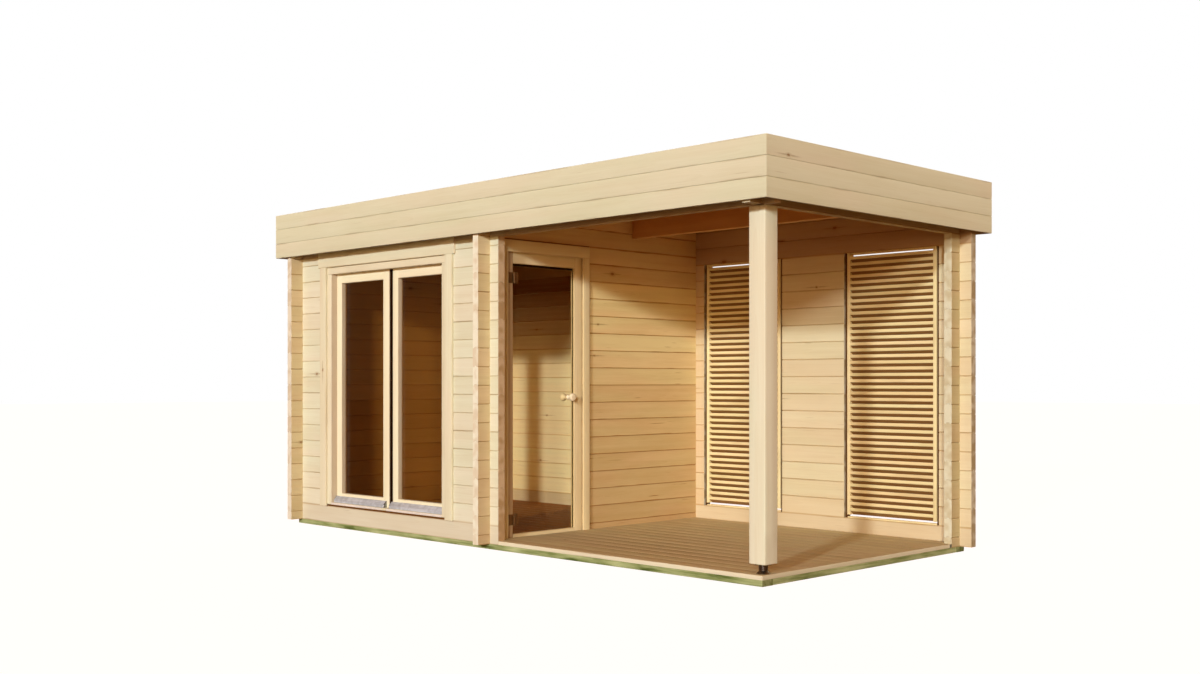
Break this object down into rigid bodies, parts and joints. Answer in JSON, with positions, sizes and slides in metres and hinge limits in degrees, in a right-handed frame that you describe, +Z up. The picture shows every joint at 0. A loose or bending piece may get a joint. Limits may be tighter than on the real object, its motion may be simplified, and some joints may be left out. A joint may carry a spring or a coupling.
{
  "type": "sauna cabin",
  "caption": "Log sauna cabin with a closed sauna room, a glass door, and an open veranda with louvre panels under one flat roof.",
  "frame": {"origin": "on the ground, at the centre of the roof's outline", "axes": "+X along the front towards the open veranda, +Y from the front to the back wall, +Z up"},
  "size_m": [4.76, 2.348, 2.3715],
  "materials": {
    "wall_planks": "planed untreated spruce wall planks",
    "impregnated_timber": "green pressure-treated pine",
    "floor_boards": "planed pine floor boards",
    "roof_timber": "planed spruce boards and joists",
    "roofing_felt": "dark mineral roofing felt",
    "fascia_boards": "planed spruce fascia boards",
    "post_timber": "planed spruce post",
    "galvanised_steel": "galvanised steel",
    "hinge_steel": "dark bronzed steel",
    "window_glass": "bronze tinted window glass",
    "door_glass": "bronze tinted toughened glass",
    "drip_rail_metal": "anodised aluminium",
    "joinery_wood": "planed pine joinery",
    "trim_boards": "planed spruce trim boards",
    "knob_wood": "turned alder",
    "louvre_wood": "planed spruce louvre slats"
  },
  "bodies": {
    "cabin": {"foundation_front": "impregnated_timber", "foundation_back": "impregnated_timber", "foundation_left": "impregnated_timber", "foundation_right": "impregnated_timber", "foundation_middle": "impregnated_timber", "sauna_floor": "floor_boards", "veranda_floor": "floor_boards", "front_wall_sill_plank": "wall_planks", "front_wall_left": "wall_planks", "front_wall_right": "wall_planks", "front_beam": "wall_planks", "left_wall": "wall_planks", "back_wall_sill_plank": "wall_planks", "back_wall_sauna": "wall_planks", "back_wall_between": "wall_planks", "back_wall_right": "wall_planks", "back_wall_top": "wall_planks", "end_wall_front": "wall_planks", "end_wall_rear": "wall_planks", "end_wall_top": "wall_planks", "right_corner_planks": "wall_planks", "right_beam": "wall_planks", "ceiling_joists": "roof_timber", "roof_boards": "roof_timber", "roof_felt": "roofing_felt", "fascia_front": "fascia_boards", "fascia_back": "fascia_boards", "fascia_left": "fascia_boards", "fascia_right": "fascia_boards", "corner_post": "post_timber", "post_foot": "galvanised_steel", "window_frame": "joinery_wood", "window_trim": "trim_boards", "window_sashes": "joinery_wood", "window_panes": "window_glass", "window_drip_rails": "drip_rail_metal", "door_frame": "joinery_wood", "door_trim": "trim_boards", "hinge_pins": "hinge_steel", "louvre_panel_left": "louvre_wood", "louvre_panel_right": "louvre_wood"},
    "door": {"door_glass": "door_glass", "hinge_clamps": "hinge_steel", "door_knobs": "knob_wood"}
  },
  "joints": [
    {"name": "door_hinge", "type": "hinge", "parent": "cabin", "child": "door", "pos_m": [0.028, -0.838, 0.9765], "axis": [0, 0, -1], "range_deg": [0, 100]}
  ]
}
